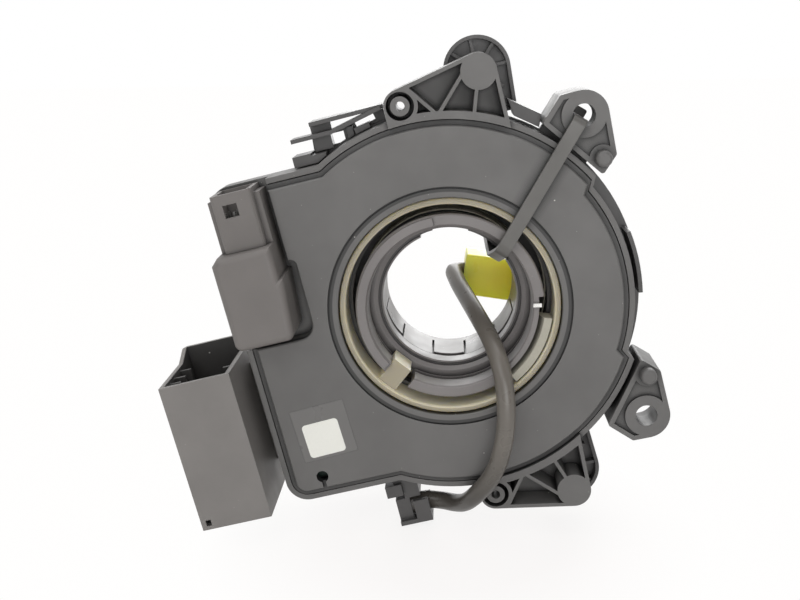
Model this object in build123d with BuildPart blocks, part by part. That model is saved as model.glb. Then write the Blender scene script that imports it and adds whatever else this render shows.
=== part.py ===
from build123d import *
from math import acos, asin, cos, degrees, hypot, pi, radians, sin, tan
import os

# Steering clock spring with a steering angle sensor in front of the ribbon cassette.
# Millimetres. Y is the steering axis and points from the column side to the wheel side,
# X points right and Z up when the column side is seen. The cover's face lies in Y = 0.

# Case of the sensor, seen from the column side
case_radius = 48.0
case_left = 53.0
case_half_height = 41.7
case_corner = 3.0
relief_radius = 45.6
relief_angle = 27.7
relief_ramp = 3.0
notch_right = 38.5
notch_low = 22.5
index_place = (-45.3, -38.3)
index_radius = 1.65
index_slot = 1.1
pocket_right = 36.5
pocket_low = 1.0
pocket_corner = 4.0
pocket_shoulder = 1.5

# Depths along the steering axis
cover_step = 1.2
cover_flange = 1.4
cover_border = 1.3
rim_near = 1.3
case_gap = 0.25
case_wall = 1.45
pocket_floor = 6.4
floor_near = 11.4
floor_far = 13.0
frame_far = 15.4
cassette_far = 30.0

# Bore of the cover and its lip
lip_radius = 29.6
groove_radius = 32.2
cover_edge = 0.35
lip_edge = 0.25
groove_width = 0.5
groove_depth = 0.7
case_hole = 26.6

# Arms of the sensor case and the dampers' dishes behind them
boss_height = case_radius + 6.25
boss_outer = 4.2
boss_pocket = 3.6
boss_tube = 2.5
boss_bore = 1.2
pad_x = 21.2
pad_height = case_radius + 9.9
pad_radius = 4.6
arm_right = 26.0
arm_wall = 1.0
arm_floor = 9.0
arm_root = case_radius - 6.0
web_foot_x = 8.8
web_foot_rise = 1.8
web_head_rise = 10.3
web_heads = (2.6, 17.2)
pad_rib_foot = (17.6, 0.5)
rib_width = 0.9
dish_radius = 8.9
dish_wall = 1.0
dish_near = 15.4
dish_floor = 18.6
dish_far = 20.0
dish_foot = case_radius - 2.0
dish_hub = 2.4
dish_rib_drop = 0.8

# Frame's ring, and its ears as heights above the ring and angles
frame_radius = case_radius + cover_border + case_gap + case_wall + 0.6
ear_rise = 8.834
ear_angle = 42.72
ear_corners = [(6.26, 31.0), (1.52, 29.8), (1.9, 31.94), (2.47, 49.8), (9.6, 49.3)]
ear_web = [(0.03, 49.4), (-0.43, 32.0)]
ear_web_width = 4.0
ear_round = 6.3
ear_hole = 2.9
ear_collar = 4.6
ear_collar_far = 7.5
ear_plate = 3.5
ear_wall = 1.5
ear_corner = 0.8
ear_border = 1.3
ear_ring = 5.7
ear_recess_depth = 0.9
stud_rise = 3.695
stud_angle = 32.18
stud_radius = 2.1
stud_tip = 3.4
stud_round = 0.9

# Frame's bracket, catches, leaf and hook
frame_left = 50.0
bracket_thick = 2.0
bracket_near = 11.0
rail_near = 9.0
rail_thick = 1.1
rail_far = 19.0
second_rail_near = 8.0
block_near = 9.5
catch_near = 6.0
ear_catch = [(4.47, 61.3), (3.75, 51.4), (0.53, 50.45), (0.84, 58.25)]
leaf_drop = 1.6
leaf_thick = 1.1
leaf_angle = 9.5
leaf_near = 4.0
tab_near_depth = 4.0
hook_near = 4.0
hook_wall = 4.0
hook_wall_near = 5.5
hook_wall_top = 52.2
hook_post = (-25.4, -21.0)
hook_low = frame_radius + 8.0
hook_bar = (-27.7, -14.7)
hook_bar_low = 48.0
hook_bar_top = 43.4
tab_place = (-27.7, -48.9)
tab_size = (4.6, 3.4)
hook_length = 9.2
hook_floor = 1.2
hook_lip = 1.5
hook_lip_length = 4.3
hook_lip_height = 6.6

# Ribbon cassette behind the frame
cassette_radius = frame_radius - 2.6
cassette_left = 50.0
cassette_half_height = 38.0
cassette_wall = 1.6
cassette_hole = 20.6
cassette_corner = 4.0
cassette_rib = 1.6
cassette_ribs = 15
seat_play = 0.2
ribbon_inner = 23.0
ribbon_pitch = 3.4
ribbon_turns = 5
ribbon_thick = 0.35
ribbon_near = 17.0
ribbon_far = 27.6

# Rotor
hub_rim = 29.3
hub_wall = 1.6
hub_near = 1.2
hub_far = 11.1
run_gap = 0.3
collar_radius = 25.1
collar_inner = 22.0
collar_near = 1.6
collar_thick = 1.6
throat_radius = 18.4
collar_edge = 0.4
lip_inner = 21.7
lip_far = 6.8
undercut_radius = 22.8
ridge_radius = 22.2
ridge_near = 10.4
ridge_far = 11.0
ledge_near = 12.4
ledge_radius = 20.8
ledge_ring = 19.7
ledge_ring_near = 13.0
ledge_groove = 18.9
ledge_groove_far = 14.1
throat_near = 13.3
throat_wall = 15.1
throat_open_start = 20.0
throat_open_end = 101.7
sleeve_radius = 20.2
seat_radius = 19.4
seat_near = 18.0
crown_near = 18.2
crown_outer = 19.2
crown_far = 35.5
face_radius = 43.0
face_thick = 2.2
sleeve_far = 28.0
wheel_collar_far = 35.5
tab_angle = 218.5
tab_width = 5.4
tab_inner = 20.6
tab_near = 2.4
hub_chamfer = 0.4
raised_outer = 24.6
raised_inner = 22.4
raised_start = 87.5
raised_end = 210.0
raised_step = 0.9
face_near = 30.4
face_lip = 1.4
crown_tabs = 6
crown_tab_angle = -104.0
crown_tab_width = 9.2
crown_tab_drop = 2.3
crown_slit = 0.6
crown_slit_far = 32.0
drive_pin_z = 33.0
drive_pin_radius = 2.5
drive_pin_far = 38.0
crescent_outer = 27.3
crescent_inner = 25.2
crescent_near = 1.9
crescent_foot = 5.5
crescent_far = 7.5
crescent_end = -20.0
blade_angle = -11.5
blade_near = 0.8
socket_inner = 24.5
socket_outer = 40.5
socket_width = 15.0
socket_far = 39.2
socket_wall = 1.0
socket_ways = 5
socket_pin_depth = 5.0
pin_pitch = 2.2
pin_thick = 0.64
slot_play = 0.15
slot_margin = 2.0
opening_start = -63.5
opening_end = -6.5

# Sensor gears, with involute teeth
gear_module = 1.0
ring_teeth = 64
gear_a_teeth = 18
gear_b_teeth = 16
gear_a_step = 38
gear_b_step = 33
gear_near = 8.0
pressure_angle = 20.0
backlash = 0.16
axle_radius = 1.5
axle_play = 0.05
magnet_radius = 3.0
magnet_thick = 1.0

# Electronics under the cover
board_near = 3.8
board_thick = 1.2
board_left = 51.0
board_half_height = 39.6
board_clear = 30.8
board_right = 24.0
board_top = -1.5
board_posts = [(-47.5, -37.0), (-25.5, -38.0), (-50.0, -12.5)]
post_radius = 1.5
chip_thick = 1.0

# Upper connector and its boot
upper_left = 52.3
upper_right = 41.5
upper_low = 28.8
upper_top = 44.0
upper_near = -6.0
upper_wall = 1.2
upper_rail = 1.5
boot_left = 56.0
boot_right = 40.0
boot_low = 3.7
boot_top = 28.8
boot_near = -10.0
boot_round = 1.8

# Lower connector
lower_left = 79.5
lower_right = 60.0
lower_low = 43.2
lower_near = -8.0
lower_far = 23.0
lower_near_top = -1.4
lower_far_top = 1.2
lower_wall = 1.3
key_depths = [-1.5, 3.5, 10.0]
key_length = 3.0
key_width = 1.0
pin_length = 16.0
neck_far = 21.4
neck_top = -6.0
neck_low = 36.0

# Lead, its gland, its plug and the tie
lead_diameter = 5.0
gland_x = -24.2
gland_length = 5.0
gland_radius = 2.95
gland_taper = 0.25
lead_depth = 8.7
lead_height = -55.3
plug_angle = -22.0
plug_length = 22.0
plug_height = 12.4
plug_depth = 11.0
plug_near = 40.2
plug_x = 6.5
plug_z = -1.5
plug_round = 0.8
plug_chamfer = 0.4
plug_grip = 2.4
plug_wall = 1.5
plug_socket = 8.0
last_run = 2.36
latch_start = 4.0
latch_length = 13.0
latch_width = 5.0
latch_thick = 1.4
tie_width = 3.6
tie_thick = 1.2
tie_foot = (3.0, -2.82)
tie_way = (0.683, 0.731)
tie_ear = 59.0
tie_front = -1.1
tie_bend = 20.2
tie_bore = 16.6
tie_throat = 8.0
tie_back = 40.7
tie_corner = 47.0
tie_return = 26.0
tie_head_near = 17.0
tie_head_deep = 4.0
tie_head_long = 5.4
tie_head_wide = 6.0

pocket_wall = 1.2
far_out = 75.0

os.makedirs("parts", exist_ok=True)


def depth_plane(depth):
    """Plane across the steering axis, facing the column side."""
    return Plane.XZ.offset(-depth)


def polar(radius, angle):
    return (radius * cos(radians(angle)), radius * sin(radians(angle)))


def ring_place(rise, angle, side):
    """A place by its height above the frame's ring and its angle, above or below the axis."""
    x, z = polar(frame_radius + rise, angle)
    return (x, side * z)


def keep(part, name):
    part.label = name
    export_step(part, f"parts/{name}.step")


def bar(start, end, width):
    """Flat bar between two points of a sketch."""
    length = hypot(end[0] - start[0], end[1] - start[1])
    turn = degrees(asin((end[1] - start[1]) / length))
    if end[0] < start[0]:
        turn = 180 - turn
    middle = ((start[0] + end[0]) / 2, (start[1] + end[1]) / 2)
    with BuildSketch(Plane.XY, mode=Mode.PRIVATE) as flat:
        with Locations(Location((*middle, 0), (0, 0, turn))):
            Rectangle(length, width)
    return flat.sketch


def case_outline(grow):
    """Outline of the sensor case, grown outwards from the cover's raised face."""
    ramp_end = relief_angle + relief_ramp
    inner = relief_radius + grow
    wedge = [polar(inner - 6, relief_angle), polar(inner, relief_angle)]
    wedge += [polar(inner + 4, ramp_end), polar(far_out, ramp_end)]
    with BuildSketch(Plane.XY, mode=Mode.PRIVATE) as relief:
        with BuildLine():
            Polyline(*wedge, *[(x, -z) for x, z in reversed(wedge)], close=True)
        make_face()
        Circle(inner, mode=Mode.SUBTRACT)
    with BuildSketch(Plane.XY, mode=Mode.PRIVATE) as outline:
        Circle(case_radius + grow)
        with Locations((-(case_left + grow) / 2, 0)):
            Rectangle(case_left + grow, 2 * (case_half_height + grow))
        fillet(outline.vertices().group_by(Axis.X)[0], case_corner + grow)
        add(relief.sketch, mode=Mode.SUBTRACT)
    return outline.sketch


def notch_outline(grow):
    """Corner of the case that the upper connector and its boot take."""
    with BuildSketch(Plane.XY, mode=Mode.PRIVATE) as notch:
        with Locations((-far_out, notch_low)):
            Rectangle(far_out - notch_right + grow, far_out, align=(Align.MIN, Align.MIN))
        with Locations((-far_out, pocket_low - grow)):
            Rectangle(far_out - pocket_right + grow, notch_low - pocket_low + 2 * grow,
                      align=(Align.MIN, Align.MIN))
        fillet(notch.vertices().group_by(Axis.X)[-1].sort_by(Axis.Y)[0], pocket_corner + grow)
        fillet(notch.vertices().group_by(Axis.X)[-1].sort_by(Axis.Y)[-1], pocket_shoulder)
    return notch.sketch


def arm_outline(side):
    """Outline of one ribbed arm; side is 1 above the axis and -1 below it."""
    with BuildSketch(Plane.XY, mode=Mode.PRIVATE) as arm:
        with Locations((0, side * boss_height)):
            Circle(boss_outer)
        with Locations((pad_x, side * pad_height)):
            Circle(pad_radius)
        make_hull()
        with BuildLine():
            Polyline((-boss_outer, side * boss_height), (pad_x + pad_radius, side * pad_height),
                     (arm_right, side * arm_root), (-boss_outer, side * arm_root), close=True)
        make_face()
    return arm.sketch


def arm_pockets(side):
    """The pockets between an arm's ribs."""
    web_foot = (web_foot_x, side * (case_radius + web_foot_rise))
    with BuildSketch(Plane.XY, mode=Mode.PRIVATE) as pockets:
        add(arm_outline(side))
        offset(amount=-arm_wall, mode=Mode.REPLACE)
        Circle(frame_radius, mode=Mode.SUBTRACT)
        with Locations((0, side * boss_height)):
            Circle(boss_pocket + arm_wall, mode=Mode.SUBTRACT)
        with Locations((pad_x, side * pad_height)):
            Circle(pad_radius, mode=Mode.SUBTRACT)
        for head in web_heads:
            add(bar((head, side * (case_radius + web_head_rise)), web_foot, rib_width), mode=Mode.SUBTRACT)
        add(bar((pad_x, side * pad_height), (pad_rib_foot[0], side * (case_radius - pad_rib_foot[1])),
                rib_width), mode=Mode.SUBTRACT)
    return pockets.sketch


def involute_gear(teeth, start_angle, bore):
    """Gear outline with a tooth at start_angle; flanks follow the involute."""
    pitch = gear_module * teeth / 2
    base = pitch * cos(radians(pressure_angle))
    root, tip = pitch - 1.25 * gear_module, pitch + 0.9 * gear_module
    flank = [root, pitch - 0.5 * gear_module, pitch, pitch + 0.5 * gear_module, tip]
    roll = tan(radians(pressure_angle)) - radians(pressure_angle)

    def half_width(radius):
        lean = acos(min(1.0, base / radius))
        return pi / (2 * teeth) - backlash / (2 * pitch) + roll - (tan(lean) - lean)

    outline = []
    for tooth in range(teeth):
        middle = start_angle + 360 * tooth / teeth
        outline += [polar(r, middle - degrees(half_width(r))) for r in flank]
        outline += [polar(r, middle + degrees(half_width(r))) for r in reversed(flank)]
    with BuildSketch(Plane.XY, mode=Mode.PRIVATE) as gear:
        with BuildLine():
            Polyline(*outline, close=True)
        make_face()
        Circle(bore, mode=Mode.SUBTRACT)
    return gear.sketch


# Cover: a raised face with a flange round it, and the lip of the bore
with BuildPart() as cover:
    with BuildSketch(depth_plane(cover_step + cover_flange)):
        add(case_outline(cover_border))
        add(notch_outline(0), mode=Mode.SUBTRACT)
        Circle(lip_radius, mode=Mode.SUBTRACT)
    extrude(amount=cover_flange)
    with BuildSketch(depth_plane(cover_step)):
        add(case_outline(0))
        add(notch_outline(0), mode=Mode.SUBTRACT)
        Circle(lip_radius, mode=Mode.SUBTRACT)
    extrude(amount=cover_step)
    face_edges = cover.edges().group_by(Axis.Y)[0]
    chamfer(face_edges.filter_by(lambda edge: not edge.is_closed), cover_edge)
    chamfer(face_edges.filter_by(lambda edge: edge.is_closed), lip_edge)
    with BuildSketch(depth_plane(groove_depth)):
        Circle(groove_radius + groove_width / 2)
        Circle(groove_radius - groove_width / 2, mode=Mode.SUBTRACT)
    extrude(amount=groove_depth, mode=Mode.SUBTRACT)
    with BuildSketch(depth_plane(cover_step)):
        with Locations(index_place):
            Rectangle(index_slot, far_out, align=(Align.CENTER, Align.MAX))
    extrude(amount=cover_step, mode=Mode.SUBTRACT)
    with BuildSketch(depth_plane(cover_step + cover_flange)):
        with Locations(index_place):
            Circle(index_radius)
    extrude(amount=cover_step + cover_flange, mode=Mode.SUBTRACT)
keep(cover.part, "sensor_cover")

# Places of the two sensor gears round the ring gear
gear_places = []
for teeth, step in ((gear_a_teeth, gear_a_step), (gear_b_teeth, gear_b_step)):
    gear_places.append(polar(gear_module * (ring_teeth + teeth) / 2, 360 * step / ring_teeth))

# Sensor case: shell behind the cover, with the two ribbed arms
with BuildPart() as case:
    with BuildSketch(depth_plane(floor_far)):
        add(case_outline(cover_border + case_gap + case_wall))
    extrude(amount=floor_far - rim_near)
    with BuildSketch(depth_plane(floor_far)):
        add(arm_outline(1))
        add(arm_outline(-1))
    extrude(amount=floor_far)
    with BuildSketch(depth_plane(arm_floor)):
        add(arm_pockets(1))
        add(arm_pockets(-1))
    extrude(amount=arm_floor, mode=Mode.SUBTRACT)
    with BuildSketch(depth_plane(arm_floor)):
        with Locations((0, boss_height), (0, -boss_height)):
            Circle(boss_pocket)
            Circle(boss_tube, mode=Mode.SUBTRACT)
    extrude(amount=arm_floor, mode=Mode.SUBTRACT)
    with BuildSketch(depth_plane(floor_far)):
        with Locations((0, boss_height), (0, -boss_height)):
            Circle(boss_bore)
        Circle(case_hole)
    extrude(amount=floor_far, mode=Mode.SUBTRACT)
    with BuildSketch(depth_plane(floor_near)):
        add(case_outline(cover_border + case_gap))
    extrude(amount=floor_near - pocket_floor - pocket_wall, mode=Mode.SUBTRACT)
    with BuildSketch(depth_plane(floor_near)):
        add(case_outline(cover_border + case_gap))
        add(notch_outline(pocket_wall), mode=Mode.SUBTRACT)
    extrude(amount=floor_near, mode=Mode.SUBTRACT)
    with BuildSketch(depth_plane(pocket_floor)):
        add(notch_outline(0))
    extrude(amount=pocket_floor, mode=Mode.SUBTRACT)
    with BuildSketch(depth_plane(cover_step + cover_flange)):
        add(case_outline(cover_border + case_gap))
    extrude(amount=cover_step + cover_flange, mode=Mode.SUBTRACT)
    with BuildSketch(depth_plane(floor_near)):
        with Locations(*gear_places):
            Circle(axle_radius)
    extrude(amount=floor_near - gear_near - axle_play)
    with BuildSketch(depth_plane(floor_near)):
        with Locations(*board_posts):
            Circle(post_radius)
    extrude(amount=floor_near - board_near - board_thick)
keep(case.part, "sensor_case")


# Frame behind the sensor case: ears, ring plate, dishes, bracket, catches and lead hook
def ear_outline(side):
    """Outline of one ear; side is 1 above the axis and -1 below it."""
    with BuildSketch(Plane.XY, mode=Mode.PRIVATE) as ear:
        with Locations(*[ring_place(rise, angle, side) for rise, angle in ear_corners]):
            Circle(ear_corner)
        with Locations(ring_place(ear_rise, ear_angle, side)):
            Circle(ear_round)
        make_hull()
    return ear.sketch


def ear_recess(side):
    """Shallow pockets in an ear's face, round the hole's ring and the stud's boss."""
    with BuildSketch(Plane.XY, mode=Mode.PRIVATE) as recess:
        add(ear_outline(side))
        offset(amount=-ear_border, mode=Mode.REPLACE)
        with Locations(ring_place(ear_rise, ear_angle, side)):
            Circle(ear_ring, mode=Mode.SUBTRACT)
        with Locations(ring_place(stud_rise, stud_angle, side)):
            Circle(stud_radius + ear_border, mode=Mode.SUBTRACT)
    return recess.sketch


def dish_outline(side):
    """A dish behind an arm's pad, drawn down to the ring plate."""
    with BuildSketch(Plane.XY, mode=Mode.PRIVATE) as dish:
        with Locations((pad_x, side * pad_height)):
            Circle(dish_radius)
        with Locations((pad_x, side * dish_foot)):
            Rectangle(2 * dish_radius - 1.5, 1.0)
        make_hull()
    return dish.sketch


for name, side in (("upper_ear", 1), ("lower_ear", -1)):
    ear_place = ring_place(ear_rise, ear_angle, side)
    stud_place = ring_place(stud_rise, stud_angle, side)
    with BuildPart() as ear:
        with BuildSketch(depth_plane(frame_far)):
            add(ear_outline(side))
        extrude(amount=frame_far)
        with BuildSketch(depth_plane(frame_far)):
            add(ear_outline(side))
            offset(amount=-ear_wall, mode=Mode.REPLACE)
        extrude(amount=frame_far - ear_plate, mode=Mode.SUBTRACT)
        with BuildSketch(depth_plane(ear_collar_far)):
            with Locations(ear_place):
                Circle(ear_collar)
        extrude(amount=ear_collar_far - ear_plate)
        with BuildSketch(depth_plane(ear_recess_depth)):
            add(ear_recess(side))
        extrude(amount=ear_recess_depth, mode=Mode.SUBTRACT)
        with BuildSketch(depth_plane(ear_plate)):
            with Locations(stud_place):
                Circle(stud_radius)
        extrude(amount=ear_plate + stud_tip)
        fillet(ear.edges().group_by(Axis.Y)[0], stud_round)
        with BuildSketch(depth_plane(frame_far)):
            add(case_outline(cover_border + case_gap + case_wall + run_gap))
        extrude(amount=frame_far, mode=Mode.SUBTRACT)
        with BuildSketch(depth_plane(frame_far)):
            with Locations(ear_place):
                Circle(ear_hole)
        extrude(amount=frame_far, mode=Mode.SUBTRACT)
    keep(ear.part, name)

with BuildPart() as frame:
    with BuildSketch(depth_plane(frame_far)):
        Circle(frame_radius)
        with Locations((-frame_left / 2, 0)):
            Rectangle(frame_left, 2 * cassette_half_height)
        for side in (1, -1):
            web_ends = [ring_place(rise, angle, side) for rise, angle in ear_web]
            add(bar(*web_ends, ear_web_width))
    extrude(amount=frame_far - floor_far)
    with BuildSketch(depth_plane(dish_far)):
        add(dish_outline(1))
        add(dish_outline(-1))
    extrude(amount=dish_far - dish_near)
    with BuildSketch(depth_plane(dish_floor)):
        for side in (1, -1):
            add(dish_outline(side))
        offset(amount=-dish_wall, mode=Mode.REPLACE)
        Circle(frame_radius, mode=Mode.SUBTRACT)
    extrude(amount=dish_floor - dish_near, mode=Mode.SUBTRACT)
    with BuildSketch(depth_plane(dish_floor)):
        for side in (1, -1):
            middle = (pad_x, side * pad_height)
            for angle in range(0, 360, 45):
                tip = (middle[0] + (dish_radius - dish_wall / 2) * cos(radians(angle)),
                       middle[1] + (dish_radius - dish_wall / 2) * sin(radians(angle)))
                add(bar(middle, tip, rib_width))
            with Locations(middle):
                Circle(dish_hub)
    extrude(amount=dish_floor - dish_near - dish_rib_drop)
    # bracket with its rails at the upper left, in heights above the ring's top
    with BuildSketch(depth_plane(frame_far)):
        with BuildLine():
            Polyline((-26.2, frame_radius - 7.6), (-25.6, frame_radius - 0.6), (-20.2, frame_radius),
                     (-5.2, frame_radius + 3.3), (-5.2, frame_radius - 1.6), close=True)
        make_face()
        with Locations((-18.6, frame_radius - 2.0)):
            Rectangle(3.4, 2.9, mode=Mode.SUBTRACT)
        with Locations(Location((-10.6, frame_radius + 0.6, 0), (0, 0, 13))):
            Rectangle(5.4, 1.6, mode=Mode.SUBTRACT)
        with Locations((-22.6, frame_radius + 1.4)):
            Rectangle(5.6, 3.6)
    extrude(amount=bracket_thick)
    with BuildSketch(depth_plane(rail_far)):
        add(bar((-24.9, frame_radius + 3.3), (-4.8, frame_radius + 3.4), rail_thick))
    extrude(amount=rail_far - rail_near)
    with BuildSketch(depth_plane(frame_far)):
        add(bar((-30.6, frame_radius + 0.1), (-20.0, frame_radius + 0.1), rail_thick))
        add(bar((-20.4, frame_radius), (-5.4, frame_radius + 3.2), rail_thick))
    extrude(amount=frame_far - second_rail_near)
    with BuildSketch(depth_plane(frame_far)):
        with Locations((-22.7, frame_radius - 2.2)):
            Rectangle(5.0, 3.8)
        with Locations((-14.9, frame_radius - 1.3)):
            Rectangle(1.8, 3.2)
    extrude(amount=frame_far - bracket_near)
    with BuildSketch(depth_plane(frame_far)):
        with Locations(Location((-11.4, frame_radius - 1.3, 0), (0, 0, 10))):
            Rectangle(4.3, 2.5)
    extrude(amount=frame_far - block_near)
    with BuildSketch(depth_plane(frame_far)):
        with BuildLine():
            Polyline((-31.0, frame_radius - 3.8), (-26.0, frame_radius - 3.8), (-26.0, frame_radius - 5.9),
                     (-29.0, frame_radius - 7.4), (-31.0, frame_radius - 7.2), close=True)
        make_face()
        add(bar((-28, frame_radius - 5.6), (-22, frame_radius - 5.6), 2.4))
    extrude(amount=frame_far - catch_near)
    # catch between the upper arm and the upper ear
    with BuildSketch(depth_plane(frame_far)):
        with BuildLine():
            Polyline(*[polar(frame_radius + rise, angle) for rise, angle in ear_catch], close=True)
        make_face()
        Circle(case_radius + cover_border + case_gap + case_wall + run_gap, mode=Mode.SUBTRACT)
    extrude(amount=frame_far - catch_near)
    # spring leaf on the flattened side
    leaf_radius = frame_radius - leaf_drop
    with BuildSketch(depth_plane(frame_far)):
        Circle(leaf_radius + leaf_thick)
        Circle(leaf_radius, mode=Mode.SUBTRACT)
        with BuildLine():
            Polyline((0, 0), polar(far_out, -leaf_angle), polar(far_out, leaf_angle), close=True)
        make_face(mode=Mode.INTERSECT)
    extrude(amount=frame_far - leaf_near)
    # tab and lead hook at the lower edge
    with BuildSketch(depth_plane(frame_far)):
        with Locations(tab_place):
            Rectangle(*tab_size)
    extrude(amount=frame_far - tab_near_depth)
    with BuildSketch(depth_plane(frame_far)):
        with Locations((hook_bar[0], -hook_bar_low)):
            Rectangle(hook_bar[1] - hook_bar[0], hook_bar_low - hook_bar_top, align=(Align.MIN, Align.MIN))
        with Locations((hook_post[0], -hook_wall_top)):
            Rectangle(hook_post[1] - hook_post[0], hook_wall_top - hook_bar_top, align=(Align.MIN, Align.MIN))
        with Locations((gland_x - hook_wall, -hook_low)):
            Rectangle(hook_wall, hook_low - hook_wall_top, align=(Align.MIN, Align.MIN))
    extrude(amount=frame_far - hook_wall_near)
    with BuildSketch(depth_plane(frame_far)):
        with Locations((gland_x - hook_wall, -hook_low)):
            Rectangle(hook_length, hook_floor, align=(Align.MIN, Align.MIN))
    extrude(amount=frame_far - hook_near)
    with BuildSketch(depth_plane(hook_near + hook_lip)):
        with Locations((gland_x - hook_wall + hook_length, -hook_low)):
            Rectangle(hook_lip_length, hook_lip_height, align=(Align.MAX, Align.MIN))
    extrude(amount=hook_lip)
    # room for the sensor case in front of the plate and for the cassette behind it
    with BuildSketch(depth_plane(floor_far)):
        add(case_outline(cover_border + case_gap + case_wall + run_gap))
    extrude(amount=floor_far, mode=Mode.SUBTRACT)
    with BuildSketch(depth_plane(dish_far)):
        Circle(cassette_radius + cassette_rib + seat_play)
    extrude(amount=dish_far - frame_far, mode=Mode.SUBTRACT)
    # room for the ears, which are drawn on their own, and the bore
    with BuildSketch(depth_plane(dish_far)):
        add(ear_outline(1))
        add(ear_outline(-1))
        Circle(case_hole)
    extrude(amount=dish_far, mode=Mode.SUBTRACT)
keep(frame.part, "mounting_frame")

# Ribbon cassette: open towards the frame, with ribs on its outside
with BuildPart() as cassette:
    with BuildSketch(depth_plane(cassette_far)) as cassette_line:
        Circle(cassette_radius)
        with Locations((-cassette_left / 2, 0)):
            Rectangle(cassette_left, 2 * cassette_half_height)
        fillet(cassette_line.vertices().group_by(Axis.X)[0], cassette_corner)
    extrude(amount=cassette_far - frame_far)
    with BuildSketch(depth_plane(cassette_far - cassette_wall)):
        add(cassette_line.sketch_local)
        offset(amount=-cassette_wall, mode=Mode.REPLACE)
    extrude(amount=cassette_far - cassette_wall - frame_far, mode=Mode.SUBTRACT)
    with BuildSketch(depth_plane(cassette_far)):
        Circle(cassette_hole)
    extrude(amount=cassette_wall, mode=Mode.SUBTRACT)
    with BuildSketch(depth_plane(cassette_far)):
        for step in range(cassette_ribs):
            angle = -84 + step * 168 / (cassette_ribs - 1)
            with Locations(Location((*polar(cassette_radius, angle), 0), (0, 0, angle))):
                Rectangle(2 * cassette_rib, rib_width)
        Circle(cassette_radius - cassette_wall / 2, mode=Mode.SUBTRACT)
    extrude(amount=cassette_far - frame_far)
keep(cassette.part, "ribbon_cassette")

# Flat ribbon cable wound inside the cassette
def spiral(radius_shift):
    steps = [step / 12 for step in range(12 * ribbon_turns + 1)]
    return [polar(ribbon_inner + ribbon_pitch * turn + radius_shift, 360 * turn) for turn in steps]


with BuildPart() as ribbon:
    with BuildSketch(depth_plane(ribbon_far)):
        with BuildLine():
            inside = Spline(*spiral(0))
            outside = Spline(*spiral(ribbon_thick))
            Line(inside @ 0, outside @ 0)
            Line(inside @ 1, outside @ 1)
        make_face()
    extrude(amount=ribbon_far - ribbon_near)
keep(ribbon.part, "ribbon_cable")

# Plane in which the transit tie's strap runs
tie_plane = Plane(origin=(tie_foot[0], 0, tie_foot[1]), x_dir=(tie_way[0], 0, tie_way[1]),
                  z_dir=(-tie_way[1], 0, tie_way[0]))

# Rotor: driving hub with the ring gear, sleeve through the bore, and the wheel side's face
with BuildPart() as hub:
    with BuildSketch(depth_plane(hub_far)):
        Circle(hub_rim)
        Circle(hub_rim - hub_wall, mode=Mode.SUBTRACT)
    extrude(amount=hub_far - hub_near)
    chamfer(hub.edges().group_by(Axis.Y)[0], hub_chamfer)
    with BuildSketch(depth_plane(hub_far)):
        add(involute_gear(ring_teeth, 0, hub_rim - hub_wall / 2))
    extrude(amount=hub_far - gear_near)
    with BuildSketch(depth_plane(hub_far)):
        with Locations(Location((*polar((tab_inner + hub_rim - hub_wall) / 2 + 0.2, tab_angle), 0),
                                (0, 0, tab_angle))):
            Rectangle(hub_rim - hub_wall - tab_inner + 0.4, tab_width)
    extrude(amount=hub_far - tab_near)
keep(hub.part, "drive_hub")

with BuildPart() as sleeve:
    with BuildSketch(Plane.XY):
        with BuildLine():
            Polyline((throat_radius, throat_near), (ledge_groove, throat_near), (ledge_groove, ledge_groove_far),
                     (ledge_ring, ledge_groove_far), (ledge_ring, ledge_ring_near), (ledge_radius, ledge_near),
                     (undercut_radius, ledge_near), (undercut_radius, ridge_far), (ridge_radius, ridge_far),
                     (ridge_radius, ridge_near), (undercut_radius, ridge_near), (undercut_radius, lip_far),
                     (lip_inner, lip_far), (collar_inner, collar_near + collar_edge),
                     (collar_inner + collar_edge, collar_near), (collar_radius - collar_edge, collar_near),
                     (collar_radius, collar_near + collar_edge), (collar_radius, collar_near + collar_thick),
                     (collar_inner + collar_thick, collar_near + collar_thick),
                     (collar_inner + collar_thick, throat_wall), (sleeve_radius, throat_wall),
                     (sleeve_radius, sleeve_far), (seat_radius, sleeve_far), (seat_radius, seat_near),
                     (throat_radius, seat_near), close=True)
        make_face()
    revolve(axis=Axis.Y)
    with BuildSketch(depth_plane(collar_near + collar_thick)):
        with BuildLine():
            Polyline((0, 0), polar(far_out, opening_start), polar(far_out, opening_end), close=True)
        make_face()
        Circle(collar_inner + collar_thick, mode=Mode.SUBTRACT)
    extrude(amount=collar_thick, mode=Mode.SUBTRACT)
    with BuildSketch(depth_plane(collar_near)):
        Circle(raised_outer)
        Circle(raised_inner, mode=Mode.SUBTRACT)
        with BuildLine():
            Polyline((0, 0), polar(far_out, raised_start), (-far_out, far_out),
                     polar(far_out, raised_end), close=True)
        make_face(mode=Mode.INTERSECT)
    extrude(amount=raised_step)
    # open stretch of the throat's ring
    with BuildSketch(depth_plane(seat_near)):
        Circle(seat_radius)
        with BuildLine():
            Polyline((0, 0), polar(far_out, throat_open_start), (far_out, far_out),
                     polar(far_out, throat_open_end), close=True)
        make_face(mode=Mode.INTERSECT)
    extrude(amount=seat_near - ledge_near, mode=Mode.SUBTRACT)
    with BuildSketch(depth_plane(hub_far + slot_play)):
        with Locations(Location((0, 0, 0), (0, 0, tab_angle))):
            with Locations((tab_inner - 1, -tab_width / 2 - slot_play)):
                Rectangle(far_out, tab_width + slot_play + slot_margin, align=(Align.MIN, Align.MIN))
    extrude(amount=hub_far + slot_play - collar_near + raised_step, mode=Mode.SUBTRACT)
keep(sleeve.part, "rotor_sleeve")

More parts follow.
